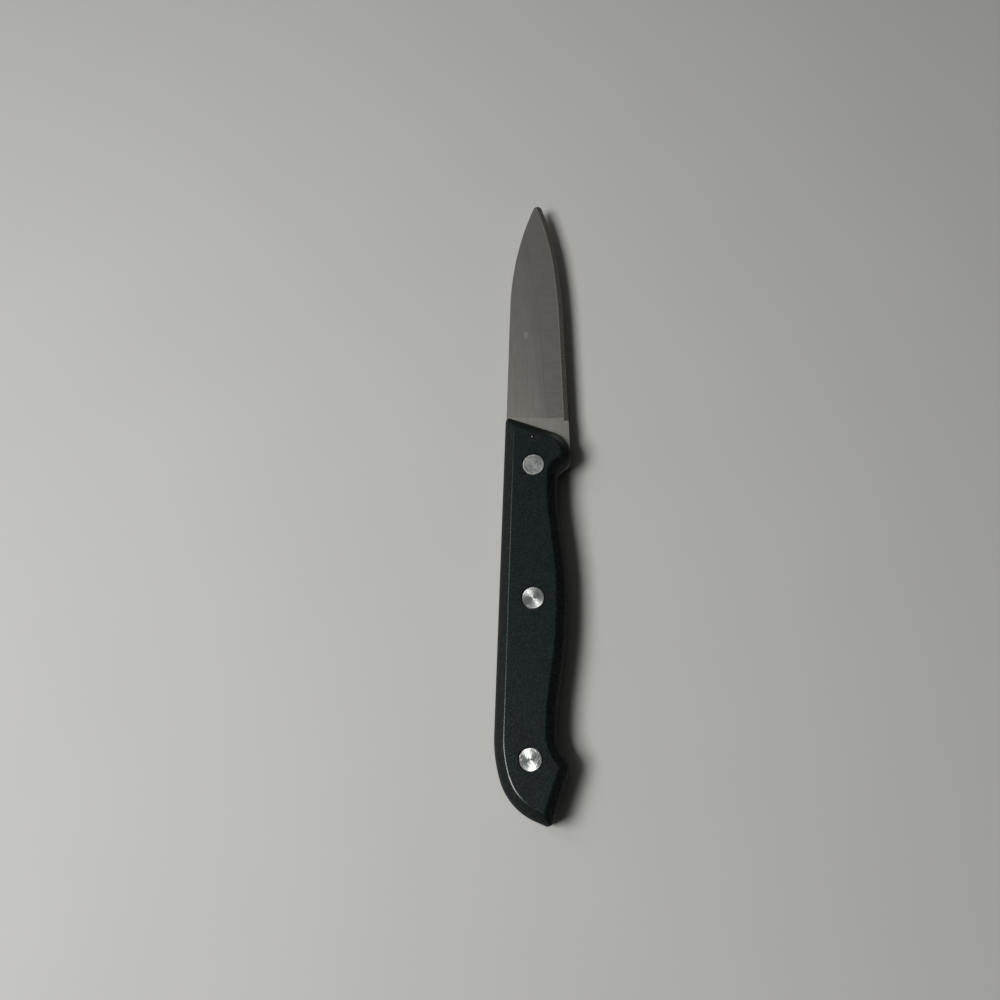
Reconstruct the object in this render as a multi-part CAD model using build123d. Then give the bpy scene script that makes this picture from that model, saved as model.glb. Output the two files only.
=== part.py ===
from build123d import *
from math import radians, sin, tan
import os

# Paring knife lying on its left side: a stamped and ground steel blade runs on as a full
# tang between two moulded handle scales, and three two-piece rivets clamp the stack.
# X goes from the spine to the cutting edge, Y from the butt to the tip, and Z through the
# thickness. Sizes are in millimetres. The parts are drawn from the front spine corner of
# the handle, on the middle plane of the blade, and moved to the base at the end.

# Handle, seen from its side
handle_length = 113.1
guard_width = 18.9
neck_width = 15.1
swell_width = 18.3
waist_width = 16.1
beak_width = 19.95
hump_rise = 0.3
front_slope = 18.6
guard_heel_round = 1.1
beak_point_round = 0.9

# How far back along the handle each corner of its outline lies
guard_heel_share = 0.118
neck_start_share = 0.147
neck_end_share = 0.2255
swell_start_share = 0.4164
swell_end_share = 0.5685
waist_start_share = 0.733
waist_end_share = 0.816
beak_share = 0.862
rump_share = 0.9624
hump_share = 0.8453
rump_across_share = 0.1905
butt_across_share = 0.754

# How much of the shorter run beside it each corner's rounding takes
guard_round_share = 0.97
neck_start_round_share = 0.28
neck_end_round_share = 0.34
swell_start_round_share = 0.42
swell_end_round_share = 0.37
waist_start_round_share = 0.36
waist_end_round_share = 0.38
rump_round_share = 0.56
hump_round_share = 0.4
butt_mitre_room_share = 1.5

# Handle, through its thickness
scale_thickness = 5.4
side_bevel_inset = 2.6
side_bevel_drop = 2.3
edge_round = 0.8
corner_round = 1.4
blunting_stand_out = 0.01

# Blade, whose length reaches to the tip as it is before rounding
blade_thickness = 1.2
blade_length = 75.1
heel_setback = 0.05
tip_round = 1.35
heel_share = 0.75
belly_start_shares = (0.866, 0.413)
belly_middle_shares = (0.765, 0.666)
tip_across_share = 0.4015
spine_bend_share = 0.494

# Grind of the blade: a flat grind from each side, then the cutting bevel
plunge_ahead = 1.2
heel_grind_width = 6.6
tip_grind_width = 8.2
bevel_width = 1.3
bevel_run_out = 1.0
bevel_shoulder_thickness = 0.5
edge_thickness = 0.06

# Rivets: a sleeve from the left side and a stud from the right side
head_diameter = 6.0
head_thickness = 1.2
head_sink = 0.05
head_edge_bevel = 0.12
seat_edge_bevel = 0.2
sleeve_diameter = 4.0
sleeve_bore_diameter = 2.6
sleeve_reach_share = 0.8
stud_reach_share = 0.9
rivet_clearance = 0.05
rivet_names = ("front", "middle", "rear")
rivet_across_shares = (0.447, 0.4893, 0.5041)
rivet_back_shares = (0.136, 0.4754, 0.8519)

cut_overrun = 2.0
same_place = 0.001


def along(share):
    """How far behind the front corner a share of the handle's length lies."""
    return -share * handle_length


def handle_corners():
    """The corners of the handle's outline before rounding, in order from the front spine corner."""
    return {
        "front": Vector(0, 0),
        "guard": Vector(guard_width, -guard_width * tan(radians(front_slope))),
        "guard heel": Vector(guard_width, along(guard_heel_share)),
        "neck start": Vector(neck_width, along(neck_start_share)),
        "neck end": Vector(neck_width, along(neck_end_share)),
        "swell start": Vector(swell_width, along(swell_start_share)),
        "swell end": Vector(swell_width, along(swell_end_share)),
        "waist start": Vector(waist_width, along(waist_start_share)),
        "waist end": Vector(waist_width, along(waist_end_share)),
        "beak": Vector(beak_width, along(beak_share)),
        "butt": Vector(butt_across_share * beak_width, -handle_length),
        "rump": Vector(rump_across_share * beak_width, along(rump_share)),
        "hump": Vector(-hump_rise, along(hump_share)),
    }


def runs_beside(name):
    """The two runs of the outline that leave a corner, as vectors."""
    corners = handle_corners()
    names = list(corners)
    place = names.index(name)
    before = corners[names[place - 1]] - corners[name]
    after = corners[names[(place + 1) % len(names)]] - corners[name]
    return before, after


def half_angle(name):
    """Half the angle at a corner of the outline, in radians."""
    before, after = runs_beside(name)
    return radians(before.get_angle(after) / 2)


def corner_radius(name, share):
    """The radius whose arc takes a share of the shorter run beside a corner."""
    return share * min(run.length for run in runs_beside(name)) * tan(half_angle(name))


def guard_radius(heel_radius):
    """The guard's radius, from a share of what its heel's rounding leaves of the run between."""
    to_heel = runs_beside("guard")[-1].length
    left_over = to_heel - heel_radius / tan(half_angle("guard heel"))
    return guard_round_share * left_over * tan(half_angle("guard"))


def rump_radius():
    """The rump's radius, which leaves room for the sloped border's mitre at the butt tip."""
    to_butt, to_hump = (run.length for run in runs_beside("rump"))
    mitre = butt_mitre_room_share * side_bevel_inset / tan(half_angle("butt"))
    return min(to_butt - mitre, rump_round_share * to_hump) * tan(half_angle("rump"))


def corner_rounds():
    """The radius of each rounded corner of the handle's outline."""
    shares = {
        "neck start": neck_start_round_share,
        "neck end": neck_end_round_share,
        "swell start": swell_start_round_share,
        "swell end": swell_end_round_share,
        "waist start": waist_start_round_share,
        "waist end": waist_end_round_share,
        "hump": hump_round_share,
    }
    rounds = {name: corner_radius(name, share) for name, share in shares.items()}
    rounds["guard heel"] = side_bevel_inset + guard_heel_round
    rounds["guard"] = guard_radius(rounds["guard heel"])
    rounds["beak"] = side_bevel_inset + beak_point_round
    rounds["rump"] = rump_radius()
    return rounds


def handle_outline(sharp_round):
    """The handle's side view, with the given radius at its two sharp corners."""
    rounds = corner_rounds()
    corners = handle_corners()
    radii = [rounds.get(name, sharp_round) for name in corners]
    return make_face(FilletPolyline(*corners.values(), radius=radii, close=True))


heel_width = guard_width - heel_setback
guard_front = guard_width * tan(radians(front_slope))
heel_back = guard_front + heel_share * (guard_heel_share * handle_length - guard_front)


def on_blade(shares):
    """A point of the blade from its shares of the heel width and of the blade length."""
    return Vector(shares[0] * heel_width, shares[1] * blade_length)


def edge_curve():
    """The cutting edge in the side view: straight from the heel, then two arcs to the tip."""
    belly_start = on_blade(belly_start_shares)
    straight = Line(Vector(heel_width, -heel_back), belly_start)
    belly = TangentArc(belly_start, on_blade(belly_middle_shares), tangent=straight % 1)
    sweep_up = TangentArc(belly @ 1, on_blade((tip_across_share, 1)), tangent=belly % 1)
    return [straight, belly, sweep_up]


def blade_outline():
    """The blade's side view, with its back end inside the handle."""
    edge = edge_curve()
    bend = Vector(0, spine_bend_share * blade_length)
    back = Line(Vector(0, -heel_back), bend)
    fall = TangentArc(bend, edge[-1] @ 1, tangent=back % 1)
    closing = Line(edge[0] @ 0, back @ 0)
    outline = make_face([back, fall, closing] + edge)
    tip = outline.vertices().sort_by(Axis.Y)[-1]
    return fillet(tip, tip_round)


def grinding_path(distance):
    """The cutting edge from a distance ahead of the handle's front corner to past the tip."""
    straight, belly, sweep_up = edge_curve()
    start = straight @ ((heel_back + distance) / straight.length)
    past_tip = Line(sweep_up @ 1, sweep_up @ 1 + cut_overrun * (sweep_up % 1))
    return Wire([Line(start, straight @ 1), belly, sweep_up, past_tip])


def profile_on(path, share, points):
    """A cutting profile square to the edge: across from the edge inwards, up from the middle."""
    plane = Plane(origin=path @ share, x_dir=Vector(0, 0, 1).cross(path % share), z_dir=path % share)
    return plane * make_face(Polyline(*points, close=True))


def grind_profile(width):
    """What the flat grind takes off one side, between the given width and the edge."""
    return [
        (width, blade_thickness / 2),
        (bevel_width, bevel_shoulder_thickness / 2),
        (-cut_overrun, bevel_shoulder_thickness / 2),
        (-cut_overrun, blade_thickness),
        (width, blade_thickness),
    ]


def bevel_profile():
    """What the cutting bevel takes off one side."""
    slope = (bevel_shoulder_thickness - edge_thickness) / 2 / bevel_width
    return [
        (bevel_width, bevel_shoulder_thickness / 2),
        (-cut_overrun, edge_thickness / 2 - cut_overrun * slope),
        (-cut_overrun, blade_thickness),
        (bevel_width, blade_thickness),
    ]


def rivet_places():
    """The three rivet axes, on the middle plane of the blade."""
    return [
        Pos(across * guard_width, along(back))
        for across, back in zip(rivet_across_shares, rivet_back_shares)
    ]


def peg(radius, start, end):
    """A round peg along Z between two heights."""
    return Pos(0, 0, (start + end) / 2) * Cylinder(radius, end - start)


def make_blade():
    """The stamped blank of blade and tang, ground on both sides and pierced for the rivets."""
    blank = extrude(handle_outline(corner_round) + blade_outline(), blade_thickness / 2, both=True)
    grind_path = grinding_path(plunge_ahead)
    grind_ends = [
        profile_on(grind_path, 0, grind_profile(heel_grind_width)),
        profile_on(grind_path, 1, grind_profile(tip_grind_width)),
    ]
    grind = sweep(grind_ends, path=grind_path, multisection=True)
    bevel_path = grinding_path(plunge_ahead - bevel_run_out)
    bevel = sweep(profile_on(bevel_path, 0, bevel_profile()), path=bevel_path)
    hole = Cylinder(sleeve_diameter / 2 + rivet_clearance, blade_thickness)
    cuts = [grind, mirror(grind, Plane.XY), bevel, mirror(bevel, Plane.XY)]
    return blank - cuts - [place * hole for place in rivet_places()]


scale_inside = blade_thickness / 2
scale_outside = scale_inside + scale_thickness
head_outside = scale_outside - head_sink
head_inside = head_outside - head_thickness


sharp_corners = ("front", "butt")


def soft_edges(body):
    """The edges of a bevelled slab that are rounded: both rings of the sloped border, and
    what rises from the two sharp corners of the outline."""
    corners = handle_corners()
    rings = (scale_outside, scale_outside - side_bevel_drop)
    soft = []
    for edge in body.edges():
        low, high = sorted((edge @ 0, edge @ 1), key=lambda end: end.Z)
        foot = Vector(low.X, low.Y)
        is_ring = high.Z - low.Z < same_place and min(abs(low.Z - ring) for ring in rings) < same_place
        is_rising = high.Z - low.Z > same_place
        from_corner = min((foot - corners[name]).length for name in sharp_corners)
        if is_ring or (is_rising and from_corner < same_place):
            soft.append(edge)
    return soft


def corner_blunter(name):
    """What makes a sharp corner of a scale rounder in the side view. Its arc stands out past
    the runs beside the corner by a hair, so that it crosses them at an angle."""
    corner = handle_corners()[name]
    ahead, behind = (run.normalized() for run in runs_beside(name))
    inwards = (ahead + behind).normalized()
    centre = corner + inwards * ((corner_round - blunting_stand_out) / sin(half_angle(name)))
    feet = [corner + run * run.dot(centre - corner) for run in (ahead, behind)]
    kite = [centre] + [centre + (point - centre) * 2 for point in (feet[0], corner, feet[1])]
    beyond = make_face(Polyline(*kite, close=True)) - Pos(centre) * Circle(corner_round)
    return extrude(Pos(0, 0, scale_inside) * beyond, scale_thickness)


def make_scale():
    """The right scale: a slab with a sloped border, softened edges and stepped rivet holes."""
    slab = extrude(Pos(0, 0, scale_inside) * handle_outline(0), scale_thickness)
    flat = slab.faces().sort_by(Axis.Z)[-1]
    bevelled = chamfer(flat.edges(), side_bevel_inset, side_bevel_drop, reference=flat)
    softened = fillet(soft_edges(bevelled), edge_round)
    hole = peg(sleeve_diameter / 2 + rivet_clearance, scale_inside, scale_outside)
    seat_radius = head_diameter / 2 + rivet_clearance
    seat = peg(seat_radius, head_inside, scale_outside)
    rim = Pos(0, 0, scale_outside) * Cone(seat_radius, seat_radius + 2 * seat_edge_bevel, 2 * seat_edge_bevel)
    blunters = [corner_blunter(name) for name in sharp_corners]
    return softened - blunters - [place * (hole + seat + rim) for place in rivet_places()]


def make_head():
    """A rivet head on the right side, with its rim broken."""
    head = peg(head_diameter / 2, head_inside, head_outside)
    return chamfer(head.edges().sort_by(Axis.Z)[-1], head_edge_bevel)


def make_stud():
    """The rivet's solid half: a head and a shank that is pressed into the sleeve."""
    shank_end = head_inside - stud_reach_share * 2 * head_inside
    return make_head() + peg(sleeve_bore_diameter / 2 - rivet_clearance, shank_end, head_inside)


def make_sleeve():
    """The rivet's hollow half: a head on the left side and a bored barrel."""
    barrel_end = sleeve_reach_share * 2 * head_inside - head_inside
    barrel = peg(sleeve_diameter / 2, -head_inside, barrel_end)
    bore = peg(sleeve_bore_diameter / 2, -head_inside, barrel_end)
    return mirror(make_head(), Plane.XY) + (barrel - bore)


def make_parts():
    """Every piece in its place about the middle plane of the blade."""
    right_scale = make_scale()
    pieces = {
        "blade": make_blade(),
        "right_scale": right_scale,
        "left_scale": mirror(right_scale, Plane.XY),
    }
    stud, sleeve = make_stud(), make_sleeve()
    for name, place in zip(rivet_names, rivet_places()):
        pieces[f"{name}_rivet_stud"] = place * stud
        pieces[f"{name}_rivet_sleeve"] = place * sleeve
    return pieces


pieces = make_parts()
box = Compound(list(pieces.values())).bounding_box()
to_base = Pos(-box.center().X, -box.center().Y, -box.min.Z)
os.makedirs("parts", exist_ok=True)
for name, piece in pieces.items():
    export_step(to_base * piece, f"parts/{name}.step")
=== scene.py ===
from math import radians

import bmesh
import bpy
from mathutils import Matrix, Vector


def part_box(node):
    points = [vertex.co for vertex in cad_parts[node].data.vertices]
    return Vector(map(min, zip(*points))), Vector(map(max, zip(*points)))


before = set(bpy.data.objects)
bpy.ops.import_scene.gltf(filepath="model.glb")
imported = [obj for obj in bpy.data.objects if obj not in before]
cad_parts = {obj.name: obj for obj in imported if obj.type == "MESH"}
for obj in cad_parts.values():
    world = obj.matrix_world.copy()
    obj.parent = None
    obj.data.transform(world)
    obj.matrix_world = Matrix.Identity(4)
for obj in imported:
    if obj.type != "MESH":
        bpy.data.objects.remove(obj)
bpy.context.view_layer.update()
scene = bpy.context.scene

# Metres in a millimetre. Sizes and places on the knife are in millimetres of the shared frame.
MM = 0.001

# The cutting edge in the side view, and the grind's width at the plunge line and at the tip
HEEL = Vector((9.203, 8.353))
BELLY_START = Vector((6.677, 50.969))
BELLY_MIDDLE = Vector((4.773, 69.969))
TIP = Vector((-2.079, 95.053))
BEVEL_WIDTH = 1.3
PLUNGE_Y = 20.95
GRIND_WIDTHS = (6.7, 8.1)

# The height of the knife's middle plane, above which its right side lies
MIDDLE_Z = 6.0
# How far from that plane the borders' painted warm tint, which stands for warm reflected light, and
# the sides' dullness set in and are full
BORDER = (5.85, 5.6)
SANDED = (4.4, 3.8)

# Marks on the right side: place, size across and along, and strength
SMUDGES = (
    ((-4.57, 47.84), (0.9, 1.7), 0.55),
    ((1.6, 62.5), (2.6, 0.35), 0.3),
    ((2.4, 57.0), (2.2, 0.3), 0.2),
)
# A pale dot in a black ring on the right side: its place, and the sizes of the dot and of the ring
PALE_DOT = (-1.79, 13.01)
PALE_DOT_SIZE = (0.24, 0.24)
DOT_RING_SIZE = (0.75, 0.75)

# Rivet faces: tone, roughness and how far their rings draw the light out. The tone is painted light:
# each face is made darker or paler for how brightly it is lit, and the front one is painted in
# shade.
RIVETS = {"front": (0.41, 0.46, 0.15), "middle": (0.72, 0.3, 0.75), "rear": (0.81, 0.28, 0.8)}
HEAD_RADIUS = 3.0
DENT = 0.15

# Steel colours
ROLLED_DARK = (0.388, 0.374, 0.336, 1)
ROLLED_PALE = (0.443, 0.428, 0.388, 1)
GROUND = (0.515, 0.5, 0.45, 1)
STREAK = (0.33, 0.325, 0.31, 1)
SHEEN_BEHIND_PLUNGE = (0.535, 0.53, 0.472, 1)
BEVEL_SHADE = (0.34, 0.322, 0.29, 1)
SHOULDER = (0.72, 0.7, 0.65, 1)
SCRATCH = (0.7, 0.69, 0.65, 1)
SMUDGE = (0.66, 0.65, 0.61, 1)
TANG_RIM_SHADE = (0.13, 0.125, 0.115, 1)

# Plastic colours
MOULDED_DARK = (0.0024, 0.0057, 0.0061, 1)
MOULDED_PALE = (0.0045, 0.0086, 0.0091, 1)
GRAIN = (0.019, 0.0262, 0.0272, 1)
BORDER_LIGHT_TINT = (1.12, 0.93, 0.8, 1)
BLACK_RING = (0.001, 0.001, 0.001, 1)
PALE_DOT_TONE = (0.4, 0.4, 0.39, 1)

# Rivet colours. The first two are for a tone of 1.
FACE_PALE = (0.785, 0.82, 0.79)
FACE_DULL = (0.53, 0.56, 0.54)
PIT = (0.2, 0.2, 0.195, 1)
RIM_GLINT = (0.93, 0.93, 0.92, 1)

FLOOR_TONES = ((0.44, 0.437, 0.417, 1), (0.46, 0.457, 0.437, 1))
WHITE = (1, 1, 1, 1)
# The walls' light, next to white light from above
WALL_TINT = {"Red": 1.0, "Green": 0.94, "Blue": 0.84}


class Nodes:
    """Short calls for the nodes that the finishes and the room share."""

    def __init__(self, tree):
        self.tree = tree

    def node(self, kind, inputs=None, **settings):
        node = self.tree.nodes.new(kind)
        for name, value in settings.items():
            setattr(node, name, value)
        for name, value in (inputs or {}).items():
            self.feed(node.inputs[name], value)
        return node

    def feed(self, socket, value):
        if isinstance(value, bpy.types.NodeSocket):
            self.tree.links.new(value, socket)
        else:
            socket.default_value = value

    def vector(self, operation, a, b=None, scale=None):
        node = self.node("ShaderNodeVectorMath", {0: a}, operation=operation)
        if b is not None:
            self.feed(node.inputs[1], b)
        if scale is not None:
            self.feed(node.inputs["Scale"], scale)
        is_number = operation in ("LENGTH", "DISTANCE", "DOT_PRODUCT")
        return node.outputs["Value" if is_number else "Vector"]

    def math(self, operation, a, b=0.0, c=0.0):
        inputs = {0: a, 1: b}
        if operation in ("MULTIPLY_ADD", "COMPARE"):
            inputs[2] = c
        return self.node("ShaderNodeMath", inputs, operation=operation).outputs[0]

    def product(self, first, second):
        return self.math("MULTIPLY", first, second)

    def axes(self, point):
        node = self.node("ShaderNodeSeparateXYZ", {0: point})
        return node.outputs["X"], node.outputs["Y"], node.outputs["Z"]

    def fade(self, value, start, end, low=0.0, high=1.0):
        """A smooth change from low to high while the value goes from start to end."""
        inputs = {"Value": value, "From Min": start, "From Max": end, "To Min": low, "To Max": high}
        node = self.node("ShaderNodeMapRange", inputs, interpolation_type="SMOOTHSTEP")
        return node.outputs["Result"]

    def mix(self, share, first, second):
        """The first number where the share is 0 and the second where it is 1."""
        return self.node("ShaderNodeMix", {"Factor": share, "A": first, "B": second}).outputs[0]

    def blend(self, share, first, second):
        """The first colour where the share is 0 and the second where it is 1."""
        inputs = {"Factor": share, "A": first, "B": second}
        node = self.node("ShaderNodeMix", data_type="RGBA")
        for socket in node.inputs:
            is_used = socket.type == "RGBA" or socket.identifier == "Factor_Float"
            if socket.name in inputs and is_used:
                self.feed(socket, inputs[socket.name])
        return next(output for output in node.outputs if output.type == "RGBA")


class Material(Nodes):
    """A node material whose patterns follow the place on the piece."""

    def __init__(self, name):
        self.material = bpy.data.materials.new(name)
        self.material.use_nodes = True
        super().__init__(self.material.node_tree)
        self.shader = self.tree.nodes["Principled BSDF"]
        point = self.node("ShaderNodeTexCoord").outputs["Object"]
        self.position = self.vector("SCALE", point, scale=1 / MM)

    def stretch(self, x, y, z=1.0):
        """The point with each axis scaled, for streaks along one of them."""
        return self.vector("MULTIPLY", self.position, (x, y, z))

    def noise(self, point, scale=1.0, detail=3.0, roughness=0.5):
        inputs = {"Vector": point, "Scale": scale, "Detail": detail, "Roughness": roughness}
        return self.node("ShaderNodeTexNoise", inputs).outputs["Fac"]

    def bump(self, height, depth, strength=1.0, normal=None):
        """A normal from a height between 0 and 1 that stands for a depth in millimetres."""
        inputs = {"Height": height, "Strength": strength, "Distance": depth * MM}
        if normal is not None:
            inputs["Normal"] = normal
        return self.node("ShaderNodeBump", inputs).outputs["Normal"]

    def reach(self, place, size=(1.0, 1.0)):
        """How far a point lies from a place in the side view, in units of a size."""
        away = self.vector("SUBTRACT", self.position, (*place, 0.0))
        return self.vector("LENGTH", self.vector("MULTIPLY", away, (1 / size[0], 1 / size[1], 0.0)))

    def spot(self, place, size, share=1.0):
        """A soft oval mark around a place in the side view, on the right side alone."""
        on_right = self.math("GREATER_THAN", self.axes(self.position)[2], MIDDLE_Z)
        return self.product(self.fade(self.reach(place, size), 1.0, 0.4, 0.0, share), on_right)

    def constant(self, name, value):
        """Sets a number that is the same all over the surface."""
        self.shader.inputs[name].default_value = value

    def finish(self, **inputs):
        for name, value in inputs.items():
            self.feed(self.shader.inputs[name.replace("_", " ").title()], value)
        return self.material


def flat(vector):
    return (vector.x, vector.y, 0.0)


def arc(start, direction, end):
    """The centre, radius and last direction of the arc that leaves start along a direction."""
    normal = Vector((-direction.y, direction.x))
    chord = end - start
    radius = chord.length_squared / (2 * chord.dot(normal))
    centre = start + radius * normal
    out = end - centre
    return centre, radius, Vector((-out.y, out.x)).normalized()


def edge_distance(m):
    """How far a point of the blade lies from the cutting edge in the side view."""
    point = m.stretch(1.0, 1.0, 0.0)

    def along(origin, direction):
        return m.vector("DOT_PRODUCT", m.vector("SUBTRACT", point, flat(origin)), flat(direction))

    straight = (BELLY_START - HEEL).normalized()
    distance = along(HEEL, Vector((-straight.y, straight.x)))
    start, direction = BELLY_START, straight
    for end in (BELLY_MIDDLE, TIP):
        centre, radius, turned = arc(start, direction, end)
        from_arc = m.math("SUBTRACT", radius, m.vector("DISTANCE", point, flat(centre)))
        is_ahead = m.math("GREATER_THAN", along(start, direction), 0.0)
        difference = m.math("SUBTRACT", from_arc, distance)
        distance = m.math("MULTIPLY_ADD", difference, is_ahead, distance)
        start, direction = end, turned
    return distance


def rolled_and_ground(m, y, in_grind, grind, ground):
    """The colour of the blade's flat and of its grind, with a painted sheen behind the plunge line,
    before the marks on them.
    """
    cloud = m.noise(m.position, 0.06, 2.0)
    streak = m.noise(m.stretch(1.1, 0.03), 1.0, 2.0)
    beside = m.product(m.fade(in_grind, -3.4, -0.8, 0.0, 0.35), m.math("SUBTRACT", 1.0, grind))
    tone = m.blend(cloud, ROLLED_DARK, ROLLED_PALE)
    tone = m.blend(m.product(grind, 0.8), tone, GROUND)
    tone = m.blend(m.fade(streak, 0.5, 0.8, 0.0, 0.04), tone, STREAK)
    tone = m.blend(beside, tone, STREAK)
    # Painted sheen: the steel between the plunge line and the handle is paler.
    sheen_behind_plunge = m.fade(y, PLUNGE_Y + 0.3, PLUNGE_Y - 0.3)
    return m.blend(m.product(sheen_behind_plunge, 0.8), tone, SHEEN_BEHIND_PLUNGE)


def add_edge(m, tone, y, distance):
    """Adds painted shade on the cutting bevel, in uneven patches, and the bright line at its
    shoulder.
    """
    bevel = m.product(m.fade(distance, BEVEL_WIDTH + 0.05, BEVEL_WIDTH - 0.08),
                      m.fade(y, PLUNGE_Y - 1.1, PLUNGE_Y - 0.7))
    shade_patches = m.fade(m.noise(m.position, 1.8, 3.0), 0.35, 0.65, 0.2, 1.0)
    # Painted shade: the bevel is darkened, more in some patches than in others.
    tone = m.blend(m.product(bevel, shade_patches), tone, BEVEL_SHADE)
    shoulder = m.math("COMPARE", distance, BEVEL_WIDTH + 0.16, 0.13)
    shoulder = m.product(shoulder, m.fade(y, PLUNGE_Y, PLUNGE_Y + 1.0))
    return m.blend(m.product(shoulder, 0.7), tone, SHOULDER)


def add_wear_and_shade(m, tone, x, y, grind, ground):
    """Adds scratches, smudges, and painted shade on the rim of the tang on the cutting edge's side.
    """
    scratch = m.product(m.fade(ground, 0.6, 0.75, 0.0, 0.15), grind)
    tone = m.blend(scratch, tone, SCRATCH)
    patchy = m.fade(m.noise(m.position, 1.3, 2.0), 0.2, 0.55)
    for place, size, share in SMUDGES:
        tone = m.blend(m.product(m.spot(place, size, share), patchy), tone, SMUDGE)
    # Painted shade: the tang's rim on the cutting edge's side is darkened.
    tang_rim_shade = m.product(m.fade(y, HEEL.y, HEEL.y - 0.4, 0.0, 0.75), m.fade(x, 0.0, 4.0))
    return m.blend(tang_rim_shade, tone, TANG_RIM_SHADE)


def steel():
    """Satin steel: rolled along the flat, ground across behind the edge, with a fine bevel."""
    m = Material("blade_steel")
    x, y, _ = m.axes(m.position)
    distance = edge_distance(m)
    in_grind = m.math("SUBTRACT", m.fade(y, PLUNGE_Y, TIP.y, *GRIND_WIDTHS), distance)
    ahead_of_plunge = m.fade(y, PLUNGE_Y - 0.1, PLUNGE_Y + 0.1)
    grind = m.product(m.fade(in_grind, -0.1, 0.25), ahead_of_plunge)
    rolled = m.noise(m.stretch(6.0, 0.25), 1.0, 3.0)
    ground = m.noise(m.stretch(0.35, 7.0), 1.0, 3.0)

    tone = rolled_and_ground(m, y, in_grind, grind, ground)
    tone = add_edge(m, tone, y, distance)
    tone = add_wear_and_shade(m, tone, x, y, grind, ground)

    grain = m.mix(grind, rolled, ground)
    roughness = m.fade(grain, 0.2, 0.8, 0.31, 0.39)
    normal = m.bump(grain, 0.004, 0.2)
    return m.finish(base_color=tone, roughness=roughness, normal=normal, metallic=1.0)


def plastic():
    """Black moulded plastic with a fine matt grain, duller on its sides, with painted shade round
    the rivet heads and a painted warm tint of reflected light on its borders.
    """
    m = Material("handle_plastic")
    mottle = m.noise(m.position, 0.35, 4.0)
    grain = m.noise(m.position, 1.9, 4.0, 0.7)
    tone = m.blend(m.fade(mottle, 0.3, 0.7), MOULDED_DARK, MOULDED_PALE)
    tone = m.blend(m.fade(grain, 0.42, 0.72, 0.0, 0.6), tone, GRAIN)
    # A pale dot in a black ring on the right scale.
    tone = m.blend(m.spot(PALE_DOT, DOT_RING_SIZE), tone, BLACK_RING)
    tone = m.blend(m.spot(PALE_DOT, PALE_DOT_SIZE), tone, PALE_DOT_TONE)
    for name in RIVETS:
        low, high = (Vector(corner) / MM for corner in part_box(f"{name}_rivet_stud"))
        from_rivet = m.reach(((low + high) / 2).xy)
        # Painted shade: a black ring in the plastic round each rivet head.
        rivet_shade_ring = m.fade(from_rivet, HEAD_RADIUS + 0.55, HEAD_RADIUS + 0.2)
        tone = m.blend(rivet_shade_ring, tone, BLACK_RING)
    from_middle = m.math("ABSOLUTE", m.math("SUBTRACT", m.axes(m.position)[2], MIDDLE_Z))
    # Painted light: the borders are tinted warm, as by warm reflected light.
    tone = m.vector("MULTIPLY", tone, m.blend(m.fade(from_middle, *BORDER), WHITE, BORDER_LIGHT_TINT))
    sanded = m.fade(from_middle, *SANDED, 0.0, 0.55)
    roughness = m.math("ADD", m.fade(grain, 0.2, 0.8, 0.18, 0.26), sanded)
    normal = m.bump(grain, 0.02, 0.15)
    m.constant("Specular IOR Level", 0.35)
    return m.finish(base_color=tone, roughness=roughness, normal=normal)


def rivet(name, tone, roughness, glint):
    """A turned metal face, whose rings draw the light out into a band across its middle."""
    m = Material(name)
    generated = m.node("ShaderNodeTexCoord").outputs["Generated"]
    centred = m.vector("SUBTRACT", generated, (0.5, 0.5, 0.0))
    radius = m.vector("LENGTH", m.vector("MULTIPLY", centred, (1.0, 1.0, 0.0)))
    rings = m.node("ShaderNodeTexNoise", {"W": m.product(radius, 60.0), "Scale": 1.0},
                   noise_dimensions="1D").outputs["Fac"]
    worn = m.noise(m.position, 0.7, 4.0, 0.6)
    # Painted light: the tone makes each rivet's face darker or paler for how brightly it is lit.
    dull, pale = ((*(tone * part for part in colour), 1) for colour in (FACE_DULL, FACE_PALE))
    pits = m.fade(m.noise(m.position, 2.4, 2.0), 0.6, 0.75, 0.0, 0.45)
    # Painted highlight: a pale, patchy glint round the rim of the face.
    rim = m.product(m.fade(radius, 0.44, 0.47), m.fade(worn, 0.3, 0.7, 0.2, 0.75))
    colour = m.blend(m.fade(worn, 0.4, 0.6), dull, pale)
    colour = m.blend(pits, colour, PIT)
    colour = m.blend(rim, colour, RIM_GLINT)
    rough = m.fade(rings, 0.2, 0.8, roughness - 0.06, roughness + 0.06)
    rough = m.math("MULTIPLY_ADD", m.fade(worn, 0.65, 0.35), 0.1, rough)
    tangent = m.node("ShaderNodeTangent", direction_type="RADIAL", axis="Z").outputs[0]
    dents = m.bump(m.noise(m.position, 0.5, 3.0, 0.6), DENT)
    normal = m.bump(rings, 0.01, 0.4, dents)
    m.constant("Anisotropic", glint)
    return m.finish(base_color=colour, roughness=rough, normal=normal, tangent=tangent, metallic=1.0)


def dress(node, material):
    """Gives a piece of the frame its finish."""
    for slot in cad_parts[node].material_slots:
        slot.material = material


def add_floor():
    """A plain pale floor."""
    m = Material("floor")
    tone = m.blend(m.noise(m.position, 0.02, 2.0), *FLOOR_TONES)
    grid = bmesh.new()
    bmesh.ops.create_grid(grid, x_segments=8, y_segments=8, size=1.5)
    mesh = bpy.data.meshes.new("floor")
    grid.to_mesh(mesh)
    grid.free()
    mesh.materials.append(m.finish(base_color=tone, roughness=0.9))
    floor = bpy.data.objects.new("floor", mesh)
    scene.collection.objects.link(floor)


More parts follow.
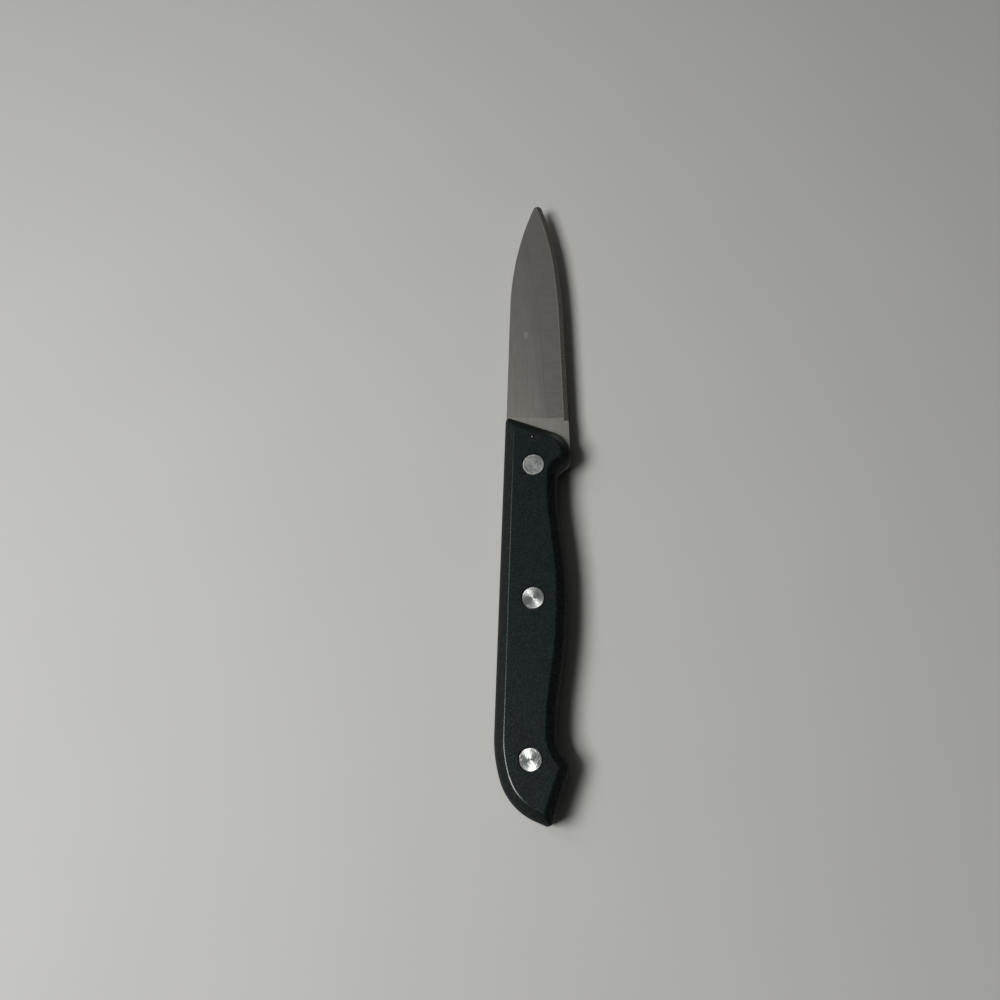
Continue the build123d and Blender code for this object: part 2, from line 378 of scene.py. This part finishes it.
def add_light(name, place, target, size, power):
    """A soft rectangular lamp that faces a point."""
    lamp = bpy.data.lights.new(name, "AREA")
    lamp.shape = "RECTANGLE"
    lamp.size, lamp.size_y = size
    lamp.energy = power
    light = bpy.data.objects.new(name, lamp)
    light.location = place
    facing = Vector(place) - Vector(target)
    light.rotation_euler = facing.to_track_quat("Z", "Y").to_euler()
    scene.collection.objects.link(light)


def add_room():
    """A soft studio: a dim ceiling, and warm walls that are paler on the left."""
    world = bpy.data.worlds.new("room")
    world.use_nodes = True
    scene.world = world
    room = Nodes(world.node_tree)
    x, y, z = room.axes(room.node("ShaderNodeTexCoord").outputs["Generated"])
    walls = room.product(room.fade(x, -1.0, 0.2, 0.24, 0.02), room.fade(y, -0.1, 1.0, 1.0, 0.25))
    ceiling = room.product(room.fade(x, -0.1, 0.3, 0.21, 0.02), room.fade(y, -0.5, -0.1, 0.3, 1.0))
    height = (0.1, 0.6)
    parts = {name: room.fade(z, *height, part, 1.0) for name, part in WALL_TINT.items()}
    background = room.tree.nodes["Background"]
    room.feed(background.inputs["Color"], room.node("ShaderNodeCombineColor", parts).outputs[0])
    room.feed(background.inputs["Strength"], room.mix(room.fade(z, *height), walls, ceiling))


def add_camera():
    """The photograph's view."""
    camera = bpy.data.objects.new("camera", bpy.data.cameras.new("camera"))
    camera.data.lens = 36
    camera.data.sensor_width = 36
    camera.data.clip_start = 0.01
    camera.location = (0.0128, -0.09082, 0.27818)
    camera.rotation_euler = (radians(17.745), radians(4.357), radians(1.890))
    scene.collection.objects.link(camera)
    scene.camera = camera


scene.view_settings.view_transform = "Standard"
dress("blade", steel())
for side in ("right_scale", "left_scale"):
    dress(side, plastic())
for name, face in RIVETS.items():
    finish = rivet(f"{name}_rivet_metal", *face)
    for half in ("stud", "sleeve"):
        dress(f"{name}_rivet_{half}", finish)
add_floor()
add_room()
add_light("key", (-0.33, -0.15, 0.56), (0, -0.02, 0), (0.26, 0.26), 4.15)
add_light("rim", (-0.38, 0.15, 0.55), (0, -0.01, 0), (0.1, 0.3), 0.45)
add_camera()
